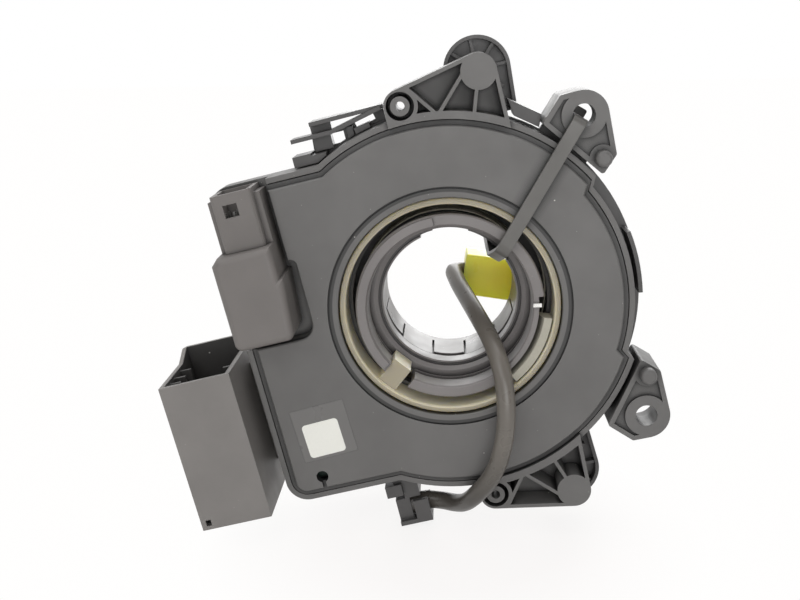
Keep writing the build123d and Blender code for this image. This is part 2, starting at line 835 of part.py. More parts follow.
# Crown: a thin tube that snaps into the sleeve, with spring tabs
with BuildPart() as crown:
    with BuildSketch(depth_plane(crown_far)):
        Circle(crown_outer)
        Circle(throat_radius, mode=Mode.SUBTRACT)
    extrude(amount=crown_far - crown_near)
    for tab in range(crown_tabs):
        turn = Location((0, 0, 0), (0, 0, crown_tab_angle + tab * 360 / crown_tabs))
        with BuildSketch(depth_plane(crown_near + crown_tab_drop)):
            with Locations(turn):
                Rectangle(far_out, crown_tab_width, align=(Align.MIN, Align.CENTER))
        extrude(amount=crown_tab_drop, mode=Mode.SUBTRACT)
        with BuildSketch(depth_plane(crown_slit_far)):
            with Locations(turn):
                with Locations((0, crown_tab_width / 2), (0, -crown_tab_width / 2)):
                    Rectangle(far_out, crown_slit, align=(Align.MIN, Align.CENTER))
        extrude(amount=crown_slit_far - crown_near, mode=Mode.SUBTRACT)
keep(crown.part, "rotor_crown")

with BuildPart() as face:
    with BuildSketch(Plane.XY):
        with BuildLine():
            Polyline((seat_radius, sleeve_far + seat_play), (sleeve_radius, sleeve_far + seat_play),
                     (sleeve_radius, face_near), (face_radius, face_near),
                     (face_radius, face_near + face_thick + face_lip),
                     (face_radius - collar_thick, face_near + face_thick + face_lip),
                     (face_radius - collar_thick, face_near + face_thick),
                     (sleeve_radius, face_near + face_thick), (sleeve_radius, wheel_collar_far),
                     (seat_radius, wheel_collar_far), close=True)
        make_face()
    revolve(axis=Axis.Y)
    with BuildSketch(depth_plane(drive_pin_far)):
        with Locations((0, drive_pin_z), (0, -drive_pin_z)):
            Circle(drive_pin_radius)
    extrude(amount=drive_pin_far - face_near - face_thick)
keep(face.part, "rotor_face")

# Light plate in the collar's opening, and the contact blade beside it
with BuildPart() as crescent:
    with BuildSketch(Plane.XY):
        with BuildLine():
            Polyline((collar_inner + collar_thick, crescent_foot), (crescent_inner, crescent_near),
                     (crescent_outer, crescent_near), (crescent_outer, crescent_far),
                     (collar_inner + collar_thick, crescent_far), close=True)
        make_face()
    revolve(axis=Axis.Y)
    with BuildSketch(depth_plane(crescent_far)):
        with BuildLine():
            Polyline((0, 0), polar(far_out, opening_start + 1), polar(far_out, crescent_end), close=True)
        make_face()
    extrude(amount=crescent_far, mode=Mode.INTERSECT)
keep(crescent.part, "crescent_plate")

with BuildPart() as blade:
    with BuildSketch(depth_plane(collar_near)):
        with Locations(Location((*polar(collar_inner + 1.1, blade_angle), 0), (0, 0, blade_angle))):
            Rectangle(2.2, 1.0)
    extrude(amount=collar_near - blade_near)
keep(blade.part, "contact_blade")

# Connector shells on the wheel side, opening outwards
for name, angle in (("wheel_socket_left", 180), ("wheel_socket_right", 0)):
    with BuildPart() as socket:
        with BuildSketch(depth_plane(socket_far)):
            with Locations(Location((0, 0, 0), (0, 0, angle))):
                with Locations((socket_inner, 0)):
                    Rectangle(socket_outer - socket_inner, socket_width, align=(Align.MIN, Align.CENTER))
        extrude(amount=socket_far - face_near - face_thick)
        with BuildSketch(depth_plane(socket_far - socket_wall)):
            with Locations(Location((0, 0, 0), (0, 0, angle))):
                with Locations((socket_inner + 3 * socket_wall, 0)):
                    Rectangle(far_out, socket_width - 2 * socket_wall, align=(Align.MIN, Align.CENTER))
        extrude(amount=socket_far - 2 * socket_wall - face_near - face_thick, mode=Mode.SUBTRACT)
    keep(socket.part, name)

with BuildPart() as socket_pins:
    pin_middle = (socket_far + face_near + face_thick) / 2
    with BuildSketch(Plane.YZ):
        with Locations((pin_middle, 0)):
            with GridLocations(pin_pitch, pin_pitch, 1, socket_ways):
                Rectangle(pin_thick, pin_thick)
    extrude(amount=socket_outer - socket_pin_depth, both=True)
    with BuildSketch(Plane.YZ):
        with Locations((pin_middle, 0)):
            Rectangle(socket_width, socket_width)
    extrude(amount=socket_inner + 3 * socket_wall, both=True, mode=Mode.SUBTRACT)
keep(socket_pins.part, "wheel_socket_pins")

# Sensor gears with their magnets; they turn on axles moulded into the case
gears = (("a", gear_a_teeth, gear_a_step), ("b", gear_b_teeth, gear_b_step))
for (name, teeth, step), middle in zip(gears, gear_places):
    angle = 360 * step / ring_teeth
    with BuildPart() as gear_wheel:
        with BuildSketch(Plane(origin=(middle[0], hub_far, middle[1]), x_dir=(1, 0, 0), z_dir=(0, -1, 0))):
            add(involute_gear(teeth, angle + 180 + 180 / teeth, axle_radius + axle_play))
        extrude(amount=hub_far - gear_near)
    keep(gear_wheel.part, f"sensor_gear_{name}")
    with BuildPart() as magnet:
        with BuildSketch(Plane(origin=(middle[0], gear_near, middle[1]), x_dir=(1, 0, 0), z_dir=(0, -1, 0))):
            Circle(magnet_radius)
        extrude(amount=magnet_thick)
    keep(magnet.part, f"sensor_magnet_{name}")

# Circuit board on its posts, with the field sensors over the magnets
with BuildPart() as board:
    with BuildSketch(depth_plane(board_near + board_thick)):
        with Locations((-board_left, -board_half_height)):
            Rectangle(board_left - board_right, board_half_height + board_top, align=(Align.MIN, Align.MIN))
        Circle(board_clear, mode=Mode.SUBTRACT)
    extrude(amount=board_thick)
keep(board.part, "circuit_board")

with BuildPart() as chips:
    with BuildSketch(depth_plane(board_near + board_thick + chip_thick)):
        with Locations(*gear_places):
            Rectangle(4.4, 4.4)
    extrude(amount=chip_thick)
keep(chips.part, "field_sensors")

with BuildPart() as processor:
    with BuildSketch(depth_plane(board_near)):
        with Locations((-42.5, -33.0)):
            Rectangle(7.0, 7.0)
    extrude(amount=chip_thick)
keep(processor.part, "processor_chip")

# Upper connector: shell open at the top, with its latch window, and the boot below it
with BuildPart() as upper_shell:
    upper_middle = -(upper_left + upper_right) / 2
    with BuildSketch(depth_plane(pocket_floor)):
        with Locations((upper_middle, upper_low)):
            Rectangle(upper_left - upper_right, upper_top - upper_low, align=(Align.CENTER, Align.MIN))
    extrude(amount=pocket_floor - upper_near)
    with BuildSketch(depth_plane(pocket_floor)):
        with Locations((upper_middle, upper_low)):
            Rectangle(upper_left - upper_right + 2 * upper_rail, upper_top - upper_low - upper_rail,
                      align=(Align.CENTER, Align.MIN))
    extrude(amount=pocket_floor - upper_near - 2 * upper_rail)
    chamfer(upper_shell.edges().filter_by(Axis.Z).group_by(Axis.Y)[0], 0.6)
    with BuildSketch(Plane.XY.offset(upper_top)):
        with Locations((upper_middle, (upper_near + pocket_floor) / 2)):
            Rectangle(upper_left - upper_right - 2 * upper_wall, pocket_floor - upper_near - 2 * upper_wall)
    extrude(amount=upper_low + 2 * upper_wall - upper_top, mode=Mode.SUBTRACT)
    with BuildSketch(depth_plane(0)):
        with Locations((-47.7, 39.5)):
            Rectangle(3.7, 3.4)
    extrude(amount=-upper_near, mode=Mode.SUBTRACT)
keep(upper_shell.part, "upper_connector_shell")

with BuildPart() as upper_pins:
    with BuildSketch(Plane.XY.offset(upper_low + 2 * upper_wall)):
        with Locations((upper_middle, (upper_near + pocket_floor) / 2)):
            with GridLocations(2.2, 4.0, 4, 2):
                Rectangle(0.6, 0.6)
    extrude(amount=7.5)
keep(upper_pins.part, "upper_connector_pins")

with BuildPart() as boot:
    with BuildSketch(depth_plane(pocket_floor)) as boot_line:
        with BuildLine():
            Polyline((-boot_left, boot_low), (-boot_right - 0.3, boot_low), (-boot_right + 1.0, 20),
                     (-boot_right, 20), (-boot_right, boot_top), (-boot_left, boot_top), close=True)
        make_face()
        fillet(boot_line.vertices().group_by(Axis.Y)[0], 2.0)
        chamfer(boot_line.vertices().group_by(Axis.Y)[-1].sort_by(Axis.X)[0], 1.8)
    extrude(amount=pocket_floor - boot_near)
    fillet(boot.faces().sort_by(Axis.Y)[0].edges(), boot_round)
keep(boot.part, "upper_connector_boot")

# Lower connector: deep shell open at the top, carried by a neck on the cassette
with BuildPart() as lower_shell:
    with BuildSketch(Plane.XY.offset(-lower_low)):
        with BuildLine():
            Polyline((-lower_left, lower_near), (-lower_right, lower_near), (-lower_right, lower_far),
                     (-lower_left + 1.0, lower_far), (-lower_left, lower_far - 2.0), close=True)
        make_face()
    extrude(amount=lower_low + lower_far_top)
    with BuildSketch(Plane.YZ.offset(-lower_left)):
        with BuildLine():
            Polyline((lower_near, lower_near_top), (lower_far - 9.0, lower_near_top),
                     (lower_far - 1.6, lower_far_top), (lower_near, lower_far_top), close=True)
        make_face()
    extrude(amount=lower_left - lower_right, mode=Mode.SUBTRACT)
    with BuildSketch(Plane.XY.offset(lower_wall - lower_low)):
        with Locations((-(lower_left + lower_right) / 2, (lower_near + lower_far) / 2)):
            Rectangle(lower_left - lower_right - 2 * lower_wall, lower_far - lower_near - 2 * lower_wall)
    extrude(amount=far_out, mode=Mode.SUBTRACT)
    with BuildSketch(Plane.XY.offset(lower_wall - lower_low)):
        for depth in key_depths:
            with Locations((lower_wall - lower_left, depth)):
                Rectangle(key_length, key_width, align=(Align.MIN, Align.CENTER))
        with Locations((-lower_right - lower_wall, key_depths[1])):
            Rectangle(key_length, key_width, align=(Align.MAX, Align.CENTER))
    extrude(amount=lower_low - lower_wall + lower_near_top - 1.0)
    with BuildSketch(depth_plane(lower_near + lower_wall)):
        with Locations((-77.4, -41.3)):
            Rectangle(1.5, 1.7)
    extrude(amount=lower_wall, mode=Mode.SUBTRACT)
    with BuildSketch(depth_plane(neck_far)):
        with Locations((-cassette_left, neck_top)):
            Rectangle(lower_right - cassette_left, neck_top + neck_low, align=(Align.MAX, Align.MAX))
    extrude(amount=neck_far - frame_far)
keep(lower_shell.part, "lower_connector_shell")

with BuildPart() as lower_pins:
    with BuildSketch(Plane.XY.offset(lower_wall - lower_low)):
        with Locations((-(lower_left + lower_right) / 2, (lower_near + lower_far) / 2)):
            with GridLocations(4.0, 5.0, 3, 5):
                Rectangle(0.8, 2.0)
    extrude(amount=pin_length)
keep(lower_pins.part, "lower_connector_pins")

# Lead from its gland at the hook, over the cover and through the bore, with the plug on its end
plug_plane = Plane(origin=(plug_x, plug_near + plug_depth / 2, plug_z),
                   x_dir=(cos(radians(plug_angle)), 0, sin(radians(plug_angle))), z_dir=(0, -1, 0))
plug_origin = tuple(plug_plane.origin)
plug_run = tuple(plug_plane.from_local_coords((-last_run, 0, 0)))
lead_route = [(gland_x + gland_length, lead_depth, lead_height), (-15.6, 8.1, -56.1), (-11.8, 5.0, -56.5),
              (-8.6, 0.5, -55.0), (-4.6, -3.9, -51.2), (1.2, -5.7, -46.0), (5.8, -5.9, -38.0),
              (8.7, -5.4, -28.4), (9.8, -2.9, -18.6), (8.6, 4.6, -11.8), (6.2, 14.6, -7.4),
              (4.2, 24.6, -4.3), (2.6, 32.4, -2.0), (1.7, 38.4, -0.2), (1.32, 42.48, 0.59),
              (2.41, 44.52, 0.15), plug_run, plug_origin]


def corner_radii(route):
    """Arc of each corner: 0.45 of its shorter run over the tangent of half the turn."""
    radii = []
    for before, here, after in zip(route, route[1:], route[2:]):
        come, leave = Vector(*here) - Vector(*before), Vector(*after) - Vector(*here)
        radii.append(0.45 * min(come.length, leave.length) / tan(radians(come.get_angle(leave) / 2)))
    return radii


lead_radii = corner_radii(lead_route)
with BuildPart() as lead:
    with BuildLine():
        lead_line = FilletPolyline(*lead_route, radius=lead_radii)
    lead_start = Plane(origin=lead_line @ 0, z_dir=lead_line % 0)
    with BuildSketch(lead_start):
        Circle(lead_diameter / 2)
    sweep()
keep(lead.part, "lead_cable")
print("lead length", round(lead_line.length, 1), "radii", [round(radius, 1) for radius in lead_radii])
print("lead volume", round(lead.part.volume, 1), round(pi * lead_diameter ** 2 / 4 * lead_line.length, 1))

with BuildPart() as gland:
    with BuildSketch(Plane.YZ.offset(gland_x)):
        with Locations((lead_depth, lead_height)):
            Circle(gland_radius)
    with BuildSketch(lead_start):
        Circle(gland_radius - gland_taper)
    loft()
keep(gland.part, "lead_gland")

with BuildPart() as plug:
    with BuildSketch(plug_plane) as plug_line:
        with Locations((-plug_grip, 0)):
            Rectangle(plug_length + plug_grip, plug_height, align=(Align.MIN, Align.CENTER))
        chamfer(plug_line.vertices().group_by(Axis.X)[0], plug_chamfer)
    extrude(amount=plug_depth / 2, both=True)
    fillet(plug.edges().filter_by(Axis(plug_origin, plug_plane.x_dir)), plug_round)
    with BuildSketch(Plane(origin=plug_plane.from_local_coords((plug_length, 0, 0)),
                           x_dir=(0, 1, 0), z_dir=plug_plane.x_dir)):
        Rectangle(plug_depth - 2 * plug_wall, plug_height - 2 * plug_wall)
    extrude(amount=-plug_socket, mode=Mode.SUBTRACT)
    add(lead.part, mode=Mode.SUBTRACT)
keep(plug.part, "plug_housing")

with BuildPart() as latch:
    with BuildSketch(plug_plane.offset(-plug_depth / 2)):
        with Locations((latch_start, 0)):
            Rectangle(latch_length, latch_width, align=(Align.MIN, Align.CENTER))
    extrude(amount=-latch_thick)
keep(latch.part, "plug_latch")

# Transit tie: a flat strap looped through the bore and the upper ear's hole
with BuildPart() as tie:
    with BuildSketch(tie_plane):
        with BuildLine():
            FilletPolyline((tie_ear, tie_head_near), (tie_ear, tie_front), (tie_bend, tie_front),
                           (tie_bore, tie_throat), (tie_bore, tie_back), (tie_corner, tie_back),
                           (tie_ear, tie_return), (tie_ear, tie_head_near + tie_head_deep),
                           radius=[1.5, 3.0, 4.0, 2.0, 4.0, 2.0])
        trace(line_width=tie_thick)
    extrude(amount=tie_width / 2, both=True)
keep(tie.part, "tie_strap")

with BuildPart() as tie_head:
    with BuildSketch(tie_plane):
        with Locations((tie_ear, tie_head_near + tie_head_deep / 2)):
            Rectangle(tie_head_long, tie_head_deep)
    extrude(amount=tie_head_wide / 2, both=True)
    fillet(tie_head.edges().filter_by(Axis.Y), 0.6)
keep(tie_head.part, "tie_head")
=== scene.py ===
"""Steering clock spring: finishes, lead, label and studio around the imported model."""

from math import cos, radians, sin

import bpy
import bmesh
from bpy.props import FloatProperty, FloatVectorProperty
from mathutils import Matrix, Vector


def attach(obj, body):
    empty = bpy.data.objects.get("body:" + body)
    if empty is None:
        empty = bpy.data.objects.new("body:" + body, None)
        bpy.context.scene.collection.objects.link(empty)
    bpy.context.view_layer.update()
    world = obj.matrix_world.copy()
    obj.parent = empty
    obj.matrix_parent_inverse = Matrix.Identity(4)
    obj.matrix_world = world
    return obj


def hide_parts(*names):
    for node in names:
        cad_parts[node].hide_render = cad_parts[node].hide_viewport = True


bl_info = {
    "name": "Steering Clock Spring",
    "version": (1, 0, 0),
    "blender": (4, 5, 0),
    "location": "View3D > Sidebar > Clock Spring",
    "description": "Dresses the packed clock spring with its finishes, lead, label and studio",
    "category": "Object",
}

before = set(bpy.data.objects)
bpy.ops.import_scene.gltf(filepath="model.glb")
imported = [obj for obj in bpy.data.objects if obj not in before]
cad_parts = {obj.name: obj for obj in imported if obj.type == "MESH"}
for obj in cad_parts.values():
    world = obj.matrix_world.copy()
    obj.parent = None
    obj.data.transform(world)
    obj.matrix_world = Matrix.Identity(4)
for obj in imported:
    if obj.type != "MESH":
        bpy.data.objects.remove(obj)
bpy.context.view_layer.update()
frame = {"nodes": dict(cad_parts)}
nodes = frame["nodes"]

# One millimetre in the scene's metres
MM = 0.001

# Lead's route from its gland to its plug, in metres
LEAD_ROUTE = [
    (-0.0192, 0.0087, -0.0553),
    (-0.0156, 0.0081, -0.0561),
    (-0.0118, 0.0050, -0.0565),
    (-0.0086, 0.0005, -0.0550),
    (-0.0046, -0.0039, -0.0512),
    (0.0012, -0.0057, -0.0460),
    (0.0058, -0.0059, -0.0380),
    (0.0087, -0.0054, -0.0284),
    (0.0098, -0.0029, -0.0186),
    (0.0086, 0.0046, -0.0118),
    (0.0062, 0.0146, -0.0074),
    (0.0042, 0.0246, -0.0043),
    (0.0026, 0.0324, -0.0020),
    (0.0017, 0.0384, -0.0002),
    (0.00132, 0.04248, 0.00059),
    (0.00241, 0.04452, 0.00015),
    (0.00431, 0.0457, -0.00062),
    (0.0065, 0.0457, -0.0015),
]

# Heights between which the lead's lower end darkens towards the hook
LEAD_SHADE = (-52.0 * MM, -38.0 * MM)

# Middle and half size of the deep shell's hollow, across and in depth; painted shade darkens the shell
# inside it
DEEP_SHELL_HOLLOW = ((-69.75 * MM, 7.5 * MM), (8.45 * MM, 14.2 * MM))

# Radii of the painted shade in the groove round the cover's lip, and depths between which painted shade
# darkens the cover's sunk flange
COVER_GROOVE = (31.2 * MM, 32.25 * MM)
COVER_SUNK = (0.6 * MM, 1.1 * MM)

# Share of a moulding's own colour that is left under painted shade
PAINTED_SHADE_TONE = 0.12


def colour_property(name, description, default):
    return FloatVectorProperty(
        name=name,
        description=description,
        subtype="COLOR",
        size=3,
        min=0.0,
        max=1.0,
        default=default,
    )


def length_property(name, description, default):
    return FloatProperty(
        name=name,
        description=description,
        unit="LENGTH",
        subtype="DISTANCE",
        default=default,
    )


class ClockSpringColours(bpy.types.PropertyGroup):
    """Colours of the mouldings, the lead and the small pieces."""

    case: colour_property("Case", "Sensor cover and case", (0.137, 0.133, 0.129))
    frame: colour_property("Frame", "Mounting frame and ribbon cassette", (0.078, 0.075, 0.074))
    rotor: colour_property("Rotor", "Sleeve, collar and wheel side", (0.205, 0.190, 0.186))
    natural: colour_property("Natural", "Hub and gears without pigment", (0.90, 0.80, 0.59))
    light: colour_property("Light plate", "Plate in the collar's opening", (0.43, 0.41, 0.34))
    connector: colour_property("Upper connector", "Shell, boot and wheel sockets", (0.165, 0.152, 0.144))
    deep_shell: colour_property("Lower connector", "Deep shell beside the case", (0.215, 0.202, 0.192))
    lead: colour_property("Lead", "Jacket of the lead", (0.155, 0.140, 0.122))
    plug: colour_property("Plug", "Yellow plug on the lead", (0.98, 0.84, 0.070))
    tie: colour_property("Tie", "Strap of the transit tie", (0.125, 0.120, 0.112))
    label: colour_property("Label", "Bare paper label", (0.95, 0.945, 0.88))
    film: colour_property("Film", "Clear film under the label", (0.165, 0.160, 0.155))
    steel: colour_property("Terminals", "Tinned terminals and blade", (0.78, 0.77, 0.74))
    board: colour_property("Board", "Circuit board", (0.004, 0.015, 0.009))
    chip: colour_property("Chips", "Moulded packages", (0.018, 0.018, 0.019))
    ribbon: colour_property("Ribbon", "Flat cable's film", (0.62, 0.58, 0.46))
    magnet: colour_property("Magnets", "Sintered magnets", (0.12, 0.12, 0.125))


class ClockSpringSizes(bpy.types.PropertyGroup):
    """Sizes of the pieces that the scene adds, and of the studio."""

    lead_diameter: length_property("Lead diameter", "Diameter of the lead's jacket", 5.0 * MM)
    label_width: length_property("Label width", "Width of the paper label", 10.1 * MM)
    label_height: length_property("Label height", "Height of the paper label", 9.7 * MM)
    label_thickness: length_property("Label thickness", "Thickness of the paper label", 0.12 * MM)
    film_side: length_property("Film side", "Side of the square film under the label", 15.2 * MM)
    film_thickness: length_property("Film thickness", "Thickness of the film", 0.04 * MM)
    label_corner: length_property("Label corner", "Radius of the label's corners", 1.0 * MM)
    film_corner: length_property("Film corner", "Radius of the film's corners", 0.4 * MM)
    edge_radius: length_property("Edge radius", "Rounding that the light sees on moulded edges", 0.25 * MM)
    floor_drop: length_property("Floor drop", "Distance from the steering axis to the floor", 64.8 * MM)
    lamp_size: length_property("Lamp size", "Width of each round lamp", 600.0 * MM)
    lens: FloatProperty(name="Lens", description="Focal length of the camera in mm", default=46.94)


# Materials
def new_material(name):
    """An empty material with its output and shader nodes."""
    material = bpy.data.materials.new(name)
    material.use_nodes = True
    tree = material.node_tree
    tree.nodes.clear()
    output = tree.nodes.new("ShaderNodeOutputMaterial")
    shader = tree.nodes.new("ShaderNodeBsdfPrincipled")
    tree.links.new(shader.outputs["BSDF"], output.inputs["Surface"])
    return material, tree, shader


def noise(tree, place, scale, detail=3.0, roughness=0.55):
    node = tree.nodes.new("ShaderNodeTexNoise")
    node.inputs["Scale"].default_value = scale
    node.inputs["Detail"].default_value = detail
    node.inputs["Roughness"].default_value = roughness
    tree.links.new(place, node.inputs["Vector"])
    return node.outputs["Fac"]


def remap(tree, value, low, high, to_low, to_high):
    node = tree.nodes.new("ShaderNodeMapRange")
    node.inputs["From Min"].default_value = low
    node.inputs["From Max"].default_value = high
    node.inputs["To Min"].default_value = to_low
    node.inputs["To Max"].default_value = to_high
    tree.links.new(value, node.inputs["Value"])
    return node.outputs["Result"]


def mixed(tree, factor, first, second):
    """Colour mix; first and second are sockets or plain colours."""
    node = tree.nodes.new("ShaderNodeMix")
    node.data_type = "RGBA"
    for socket, value in ((node.inputs[6], first), (node.inputs[7], second)):
        if isinstance(value, bpy.types.NodeSocket):
            tree.links.new(value, socket)
        else:
            socket.default_value = (*value, 1.0)
    tree.links.new(factor, node.inputs[0])
    return node.outputs[2]


def scaled(colour, factor):
    return tuple(min(1.0, channel * factor) for channel in colour)


def specks(tree, place, scale, size):
    """Mask of a few small round specks, fewer than one to a cell."""
    cells = tree.nodes.new("ShaderNodeTexVoronoi")
    cells.inputs["Scale"].default_value = scale
    cells.inputs["Randomness"].default_value = 1.0
    tree.links.new(place, cells.inputs["Vector"])
    near = remap(tree, cells.outputs["Distance"], size * 0.6, size, 1.0, 0.0)
    pick = tree.nodes.new("ShaderNodeSeparateColor")
    tree.links.new(cells.outputs["Color"], pick.inputs["Color"])
    chosen = remap(tree, pick.outputs["Red"], 0.80, 0.84, 0.0, 1.0)
    return times(tree, near, chosen)


def times(tree, first, second):
    """Product of two values; second is a socket or a number."""
    node = tree.nodes.new("ShaderNodeMath")
    node.operation = "MULTIPLY"
    tree.links.new(first, node.inputs[0])
    if isinstance(second, bpy.types.NodeSocket):
        tree.links.new(second, node.inputs[1])
    else:
        node.inputs[1].default_value = second
    return node.outputs["Value"]


def axis_value(tree, vector, axis):
    """One of a vector's three values, by its letter."""
    parts = tree.nodes.new("ShaderNodeSeparateXYZ")
    tree.links.new(vector, parts.inputs["Vector"])
    return parts.outputs[axis]


def crevices(tree, reach, depth, start):
    """Share of painted shade that narrow gaps and inner corners get, from 0 to depth."""
    shade = tree.nodes.new("ShaderNodeAmbientOcclusion")
    shade.samples = 6
    shade.inputs["Distance"].default_value = reach
    return remap(tree, shade.outputs["AO"], start, start - 0.42, 0.0, depth)


def flatness(tree, normal):
    """1 on faces that lie along the cover's face, 0 on walls that stand square to it."""
    flat = tree.nodes.new("ShaderNodeMath")
    flat.operation = "ABSOLUTE"
    tree.links.new(axis_value(tree, normal, "Y"), flat.inputs[0])
    return flat.outputs["Value"]


def tube_mask(tree, place, centre, half):
    """1 within an upright square tube, 0 from a little outside it."""
    middle = tree.nodes.new("ShaderNodeVectorMath")
    middle.operation = "SUBTRACT"
    middle.inputs[1].default_value = (centre[0], centre[1], 0.0)
    tree.links.new(place, middle.inputs[0])
    away = tree.nodes.new("ShaderNodeVectorMath")
    away.operation = "ABSOLUTE"
    tree.links.new(middle.outputs["Vector"], away.inputs[0])
    beyond = tree.nodes.new("ShaderNodeVectorMath")
    beyond.operation = "SUBTRACT"
    beyond.inputs[1].default_value = (half[0], half[1], 0.0)
    tree.links.new(away.outputs["Vector"], beyond.inputs[0])
    parts = tree.nodes.new("ShaderNodeSeparateXYZ")
    tree.links.new(beyond.outputs["Vector"], parts.inputs["Vector"])
    most = tree.nodes.new("ShaderNodeMath")
    most.operation = "MAXIMUM"
    tree.links.new(parts.outputs["X"], most.inputs[0])
    tree.links.new(parts.outputs["Y"], most.inputs[1])
    return remap(tree, most.outputs["Value"], 0.05 * MM, 0.3 * MM, 1.0, 0.0)


def ring_band(tree, place, inner, outer, blur):
    """Mask of a ring about the steering axis between two radii."""
    flat = tree.nodes.new("ShaderNodeVectorMath")
    flat.operation = "MULTIPLY"
    flat.inputs[1].default_value = (1.0, 0.0, 1.0)
    tree.links.new(place, flat.inputs[0])
    reach = tree.nodes.new("ShaderNodeVectorMath")
    reach.operation = "LENGTH"
    tree.links.new(flat.outputs["Vector"], reach.inputs[0])
    rise = remap(tree, reach.outputs["Value"], inner - blur, inner, 0.0, 1.0)
    fall = remap(tree, reach.outputs["Value"], outer, outer + blur, 1.0, 0.0)
    return times(tree, rise, fall)


def moulded(name, colour, roughness=0.5, grain=2200.0, grain_depth=0.02, dust=0.0, edge=0.35, mottle=0.10,
            crevice_shade=0.75, crevice_shade_reach=1.6, crevice_shade_start=0.84, glow=0.0, glow_depth=4.0, groove=None, walls=0.0,
            flats=0.0, hollow=None, shaded=None, sunk=None):
    """Moulded plastic: slow mottling, fine grain, a painted highlight on edges, painted shade in gaps and a
    little dust.

    groove, sunk, shaded and hollow paint shade on a ring, a depth, a height and the inside of a tube.
    walls and flats paint shade on the faces that stand square to the cover's face or lie along it.
    """
    material, tree, shader = new_material(name)
    place = tree.nodes.new("ShaderNodeTexCoord").outputs["Object"]
    cloud = noise(tree, place, 45.0, 4.0)
    base = mixed(tree, remap(tree, cloud, 0.3, 0.7, 0.0, 1.0),
                 scaled(colour, 1.0 - mottle), scaled(colour, 1.0 + mottle))
    rounding = tree.nodes.new("ShaderNodeBevel")
    rounding.samples = 4
    rounding.inputs["Radius"].default_value = bpy.context.scene.clock_spring_sizes.edge_radius
    true_normal = tree.nodes.new("ShaderNodeNewGeometry").outputs["True Normal"]
    alike = tree.nodes.new("ShaderNodeVectorMath")
    alike.operation = "DOT_PRODUCT"
    tree.links.new(rounding.outputs["Normal"], alike.inputs[0])
    tree.links.new(true_normal, alike.inputs[1])
    # Painted highlight: edges where the rounding bends the normal are painted paler
    edge_highlight = remap(tree, alike.outputs["Value"], 0.99, 0.80, 0.0, edge)
    base = mixed(tree, edge_highlight, base, scaled(colour, 1.9))
    # Painted shade in the groove round the cover's lip
    if groove is not None:
        ring = times(tree, ring_band(tree, place, *groove, 0.2 * MM), 0.85)
        base = mixed(tree, ring, base, scaled(colour, 0.15))
    # Painted shade on walls that stand square to the cover's face
    if walls > 0.0:
        upright = remap(tree, flatness(tree, true_normal), 0.2, 0.5, walls, 0.0)
        base = mixed(tree, upright, base, scaled(colour, PAINTED_SHADE_TONE))
    # Painted shade on faces that lie along the cover's face
    if flats > 0.0:
        level = remap(tree, flatness(tree, true_normal), 0.5, 0.9, 0.0, flats)
        base = mixed(tree, level, base, scaled(colour, 0.3))
    # Painted shade on the cover's sunk flange beside its raised face
    if sunk is not None:
        low = remap(tree, axis_value(tree, place, "Y"), *sunk, 0.0, 0.62)
        base = mixed(tree, low, base, scaled(colour, PAINTED_SHADE_TONE))
    # Painted shade that deepens downwards, on the lead's end under the case
    if shaded is not None:
        below = remap(tree, axis_value(tree, place, "Z"), *shaded, 0.6, 0.0)
        base = mixed(tree, below, base, scaled(colour, PAINTED_SHADE_TONE))
    # Painted shade inside the deep shell's hollow
    if hollow is not None:
        base = mixed(tree, tube_mask(tree, place, *hollow), base, scaled(colour, 0.16))
    # Painted shade: narrow gaps and inner corners darken by ambient occlusion
    if crevice_shade > 0.0:
        crevice_shade_mask = crevices(tree, crevice_shade_reach * MM, crevice_shade, crevice_shade_start)
        base = mixed(tree, crevice_shade_mask, base, scaled(colour, PAINTED_SHADE_TONE))
    if dust > 0.0:
        base = mixed(tree, specks(tree, place, 210.0, dust), base, (0.62, 0.61, 0.57))
        fine = times(tree, specks(tree, place, 520.0, dust * 1.4), 0.6)
        base = mixed(tree, fine, base, (0.50, 0.49, 0.46))
    tree.links.new(base, shader.inputs["Base Color"])
    sheen = remap(tree, noise(tree, place, 160.0, 2.0), 0.3, 0.7, roughness - 0.05, roughness + 0.07)
    tree.links.new(sheen, shader.inputs["Roughness"])
    bump = tree.nodes.new("ShaderNodeBump")
    bump.inputs["Strength"].default_value = 0.35
    bump.inputs["Distance"].default_value = grain_depth * MM
    tree.links.new(noise(tree, place, grain, 2.0), bump.inputs["Height"])
    tree.links.new(rounding.outputs["Normal"], bump.inputs["Normal"])
    tree.links.new(bump.outputs["Normal"], shader.inputs["Normal"])
    if glow > 0.0:
        shader.inputs["Subsurface Weight"].default_value = glow
        shader.inputs["Subsurface Radius"].default_value = (1.0, 0.85, 0.45)
        shader.inputs["Subsurface Scale"].default_value = glow_depth * MM
    return material


def metal(name, colour, roughness):
    """Plated metal with faint brushed streaks."""
    material, tree, shader = new_material(name)
    place = tree.nodes.new("ShaderNodeTexCoord").outputs["Object"]
    streaks = tree.nodes.new("ShaderNodeMapping")
    streaks.inputs["Scale"].default_value = (1.0, 12.0, 1.0)
    tree.links.new(place, streaks.inputs["Vector"])
    lines = noise(tree, streaks.outputs["Vector"], 400.0, 3.0)
    shader.inputs["Metallic"].default_value = 1.0
    tree.links.new(mixed(tree, lines, scaled(colour, 0.85), colour), shader.inputs["Base Color"])
    tree.links.new(remap(tree, lines, 0.3, 0.7, roughness, roughness + 0.15), shader.inputs["Roughness"])
    return material


